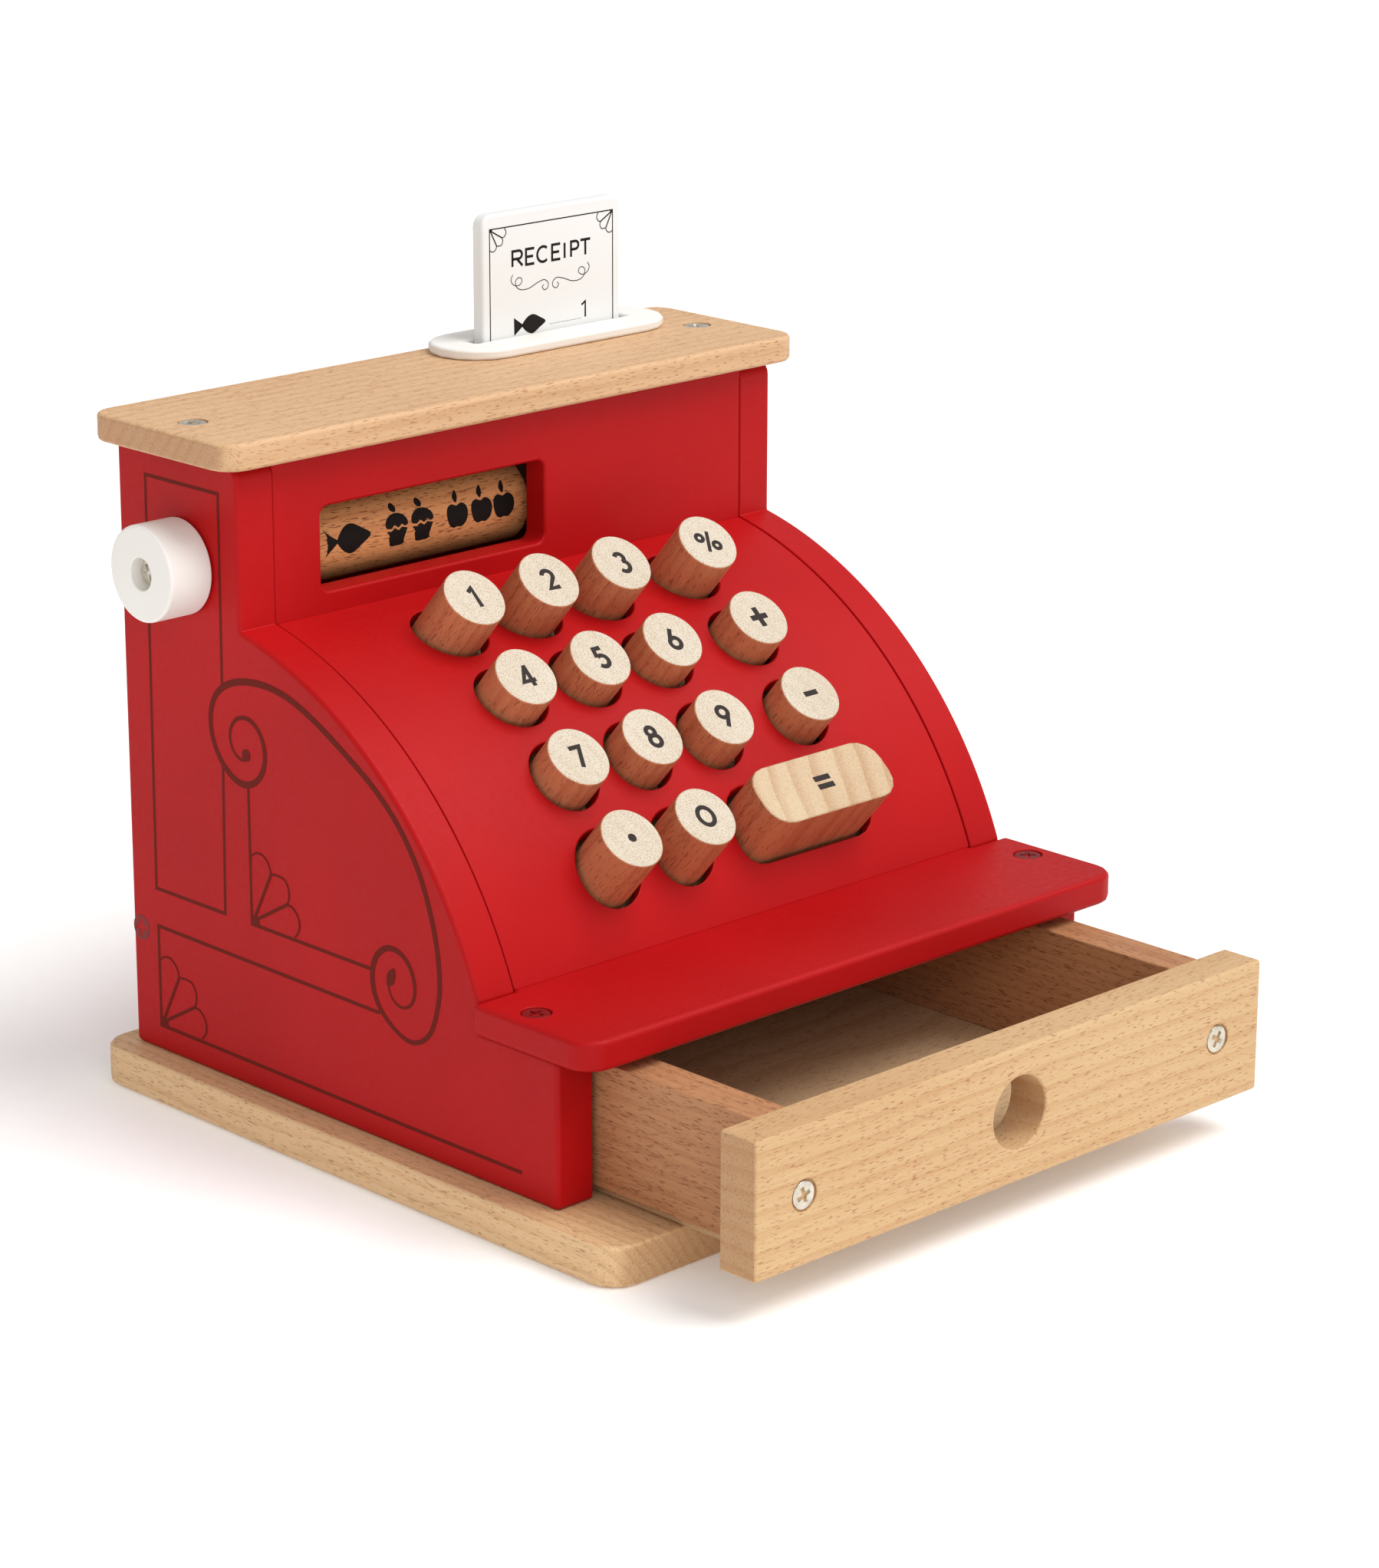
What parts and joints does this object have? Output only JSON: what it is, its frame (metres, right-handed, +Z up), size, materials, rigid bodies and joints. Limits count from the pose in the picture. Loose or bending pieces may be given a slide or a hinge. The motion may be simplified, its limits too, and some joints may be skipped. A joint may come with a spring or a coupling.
{
  "type": "toy cash register",
  "caption": "Wooden toy cash register with a curved bank of sprung push keys, a sliding drawer, a turning picture drum and a receipt card in a top slot.",
  "frame": {"origin": "centre of the base board's underside", "axes": "+Z up, +X to the player's right, -Y towards the player, the way the drawer opens"},
  "size_m": [0.2448, 0.2775, 0.256],
  "materials": {
    "beech": "clear satin lacquer",
    "key_wood": "unfinished sanded end grain",
    "plywood": "sanded",
    "red_paint": "satin paint",
    "white_paint": "satin paint",
    "zinc_screw": "zinc plated",
    "painted_screw": "painted over",
    "spring_wire": "drawn wire"
  },
  "bodies": {
    "case": {"base_board": "beech", "left_side_panel": "red_paint", "right_side_panel": "red_paint", "back_panel": "red_paint", "window_panel": "red_paint", "key_panel": "red_paint", "ledge": "red_paint", "drawer_catch_block": "beech", "top_board": "beech", "receipt_slot_plate": "white_paint", "receipt_stop": "beech", "key_guide_plate": "plywood", "key_spring_board": "plywood", "top_board_screws": "zinc_screw", "ledge_screws": "painted_screw", "side_panel_screws": "painted_screw", "base_screws": "zinc_screw", "key_1_spring": "spring_wire", "key_2_spring": "spring_wire", "key_3_spring": "spring_wire", "key_percent_spring": "spring_wire", "key_4_spring": "spring_wire", "key_5_spring": "spring_wire", "key_6_spring": "spring_wire", "key_plus_spring": "spring_wire", "key_7_spring": "spring_wire", "key_8_spring": "spring_wire", "key_9_spring": "spring_wire", "key_minus_spring": "spring_wire", "key_point_spring": "spring_wire", "key_0_spring": "spring_wire", "key_equals_spring": "spring_wire"},
    "drawer": {"drawer_front": "beech", "drawer_left_side": "beech", "drawer_right_side": "beech", "drawer_back": "beech", "drawer_bottom": "plywood", "drawer_front_screws": "zinc_screw"},
    "drum": {"picture_drum": "beech", "drum_axle": "beech", "knob": "white_paint", "knob_screw": "zinc_screw"},
    "receipt": {"receipt_card": "white_paint"},
    "key_1_button": {"key_1": "key_wood"},
    "key_2_button": {"key_2": "key_wood"},
    "key_3_button": {"key_3": "key_wood"},
    "key_percent_button": {"key_percent": "key_wood"},
    "key_4_button": {"key_4": "key_wood"},
    "key_5_button": {"key_5": "key_wood"},
    "key_6_button": {"key_6": "key_wood"},
    "key_plus_button": {"key_plus": "key_wood"},
    "key_7_button": {"key_7": "key_wood"},
    "key_8_button": {"key_8": "key_wood"},
    "key_9_button": {"key_9": "key_wood"},
    "key_minus_button": {"key_minus": "key_wood"},
    "key_point_button": {"key_point": "key_wood"},
    "key_0_button": {"key_0": "key_wood"},
    "key_equals_button": {"key_equals": "key_wood"}
  },
  "joints": [
    {"name": "drawer_slide", "type": "slide", "parent": "case", "child": "drawer", "axis": [0, -1, 0], "range_m": [-0.0612, 0.077]},
    {"name": "drum_turn", "type": "hinge", "parent": "case", "child": "drum", "pos_m": [0, 0.0777, 0.1705], "axis": [1, 0, 0], "continuous": true},
    {"name": "receipt_lift", "type": "slide", "parent": "case", "child": "receipt", "axis": [0, 0, 1], "range_m": [0, 0.055]},
    {"name": "key_1_press", "type": "slide", "parent": "case", "child": "key_1_button", "axis": [0, 0.6587, -0.7524], "range_m": [0, 0.0045], "stiffness_N_per_m": 180, "springref_m": -0.004, "deforming": ["key_1_spring"]},
    {"name": "key_2_press", "type": "slide", "parent": "case", "child": "key_2_button", "axis": [0, 0.6587, -0.7524], "range_m": [0, 0.0045], "stiffness_N_per_m": 180, "springref_m": -0.004, "deforming": ["key_2_spring"]},
    {"name": "key_3_press", "type": "slide", "parent": "case", "child": "key_3_button", "axis": [0, 0.6587, -0.7524], "range_m": [0, 0.0045], "stiffness_N_per_m": 180, "springref_m": -0.004, "deforming": ["key_3_spring"]},
    {"name": "key_percent_press", "type": "slide", "parent": "case", "child": "key_percent_button", "axis": [0, 0.6587, -0.7524], "range_m": [0, 0.0045], "stiffness_N_per_m": 180, "springref_m": -0.004, "deforming": ["key_percent_spring"]},
    {"name": "key_4_press", "type": "slide", "parent": "case", "child": "key_4_button", "axis": [0, 0.6587, -0.7524], "range_m": [0, 0.0045], "stiffness_N_per_m": 180, "springref_m": -0.004, "deforming": ["key_4_spring"]},
    {"name": "key_5_press", "type": "slide", "parent": "case", "child": "key_5_button", "axis": [0, 0.6587, -0.7524], "range_m": [0, 0.0045], "stiffness_N_per_m": 180, "springref_m": -0.004, "deforming": ["key_5_spring"]},
    {"name": "key_6_press", "type": "slide", "parent": "case", "child": "key_6_button", "axis": [0, 0.6587, -0.7524], "range_m": [0, 0.0045], "stiffness_N_per_m": 180, "springref_m": -0.004, "deforming": ["key_6_spring"]},
    {"name": "key_plus_press", "type": "slide", "parent": "case", "child": "key_plus_button", "axis": [0, 0.6587, -0.7524], "range_m": [0, 0.0045], "stiffness_N_per_m": 180, "springref_m": -0.004, "deforming": ["key_plus_spring"]},
    {"name": "key_7_press", "type": "slide", "parent": "case", "child": "key_7_button", "axis": [0, 0.6587, -0.7524], "range_m": [0, 0.0045], "stiffness_N_per_m": 180, "springref_m": -0.004, "deforming": ["key_7_spring"]},
    {"name": "key_8_press", "type": "slide", "parent": "case", "child": "key_8_button", "axis": [0, 0.6587, -0.7524], "range_m": [0, 0.0045], "stiffness_N_per_m": 180, "springref_m": -0.004, "deforming": ["key_8_spring"]},
    {"name": "key_9_press", "type": "slide", "parent": "case", "child": "key_9_button", "axis": [0, 0.6587, -0.7524], "range_m": [0, 0.0045], "stiffness_N_per_m": 180, "springref_m": -0.004, "deforming": ["key_9_spring"]},
    {"name": "key_minus_press", "type": "slide", "parent": "case", "child": "key_minus_button", "axis": [0, 0.6587, -0.7524], "range_m": [0, 0.0045], "stiffness_N_per_m": 180, "springref_m": -0.004, "deforming": ["key_minus_spring"]},
    {"name": "key_point_press", "type": "slide", "parent": "case", "child": "key_point_button", "axis": [0, 0.6587, -0.7524], "range_m": [0, 0.0045], "stiffness_N_per_m": 180, "springref_m": -0.004, "deforming": ["key_point_spring"]},
    {"name": "key_0_press", "type": "slide", "parent": "case", "child": "key_0_button", "axis": [0, 0.6587, -0.7524], "range_m": [0, 0.0045], "stiffness_N_per_m": 180, "springref_m": -0.004, "deforming": ["key_0_spring"]},
    {"name": "key_equals_press", "type": "slide", "parent": "case", "child": "key_equals_button", "axis": [0, 0.6587, -0.7524], "range_m": [0, 0.0045], "stiffness_N_per_m": 180, "springref_m": -0.004, "deforming": ["key_equals_spring"]}
  ]
}
